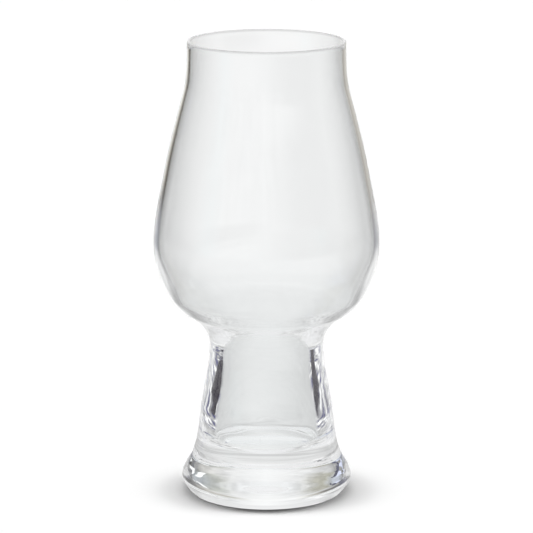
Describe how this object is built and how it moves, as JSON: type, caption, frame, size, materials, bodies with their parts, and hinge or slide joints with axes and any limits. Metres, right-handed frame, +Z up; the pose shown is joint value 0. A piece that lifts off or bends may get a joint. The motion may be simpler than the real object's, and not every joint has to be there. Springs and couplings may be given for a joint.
{
  "type": "beer glass",
  "caption": "Clear waisted beer glass: a thin round bowl narrowing to an upright lip, on a thick hollow stem and a solid flared foot.",
  "frame": {"origin": "middle of the base, on the surface that the glass stands on", "axes": "+Z up along the axis of the glass, from the foot to the lip; X and Y lie in the plane of the base"},
  "size_m": [0.0886, 0.0886, 0.18],
  "materials": {
    "clear_glass": "fire-polished, smooth and colourless, with faint waves"
  },
  "bodies": {
    "root": {"bowl": "clear_glass", "stem": "clear_glass", "foot": "clear_glass"}
  },
  "joints": []
}
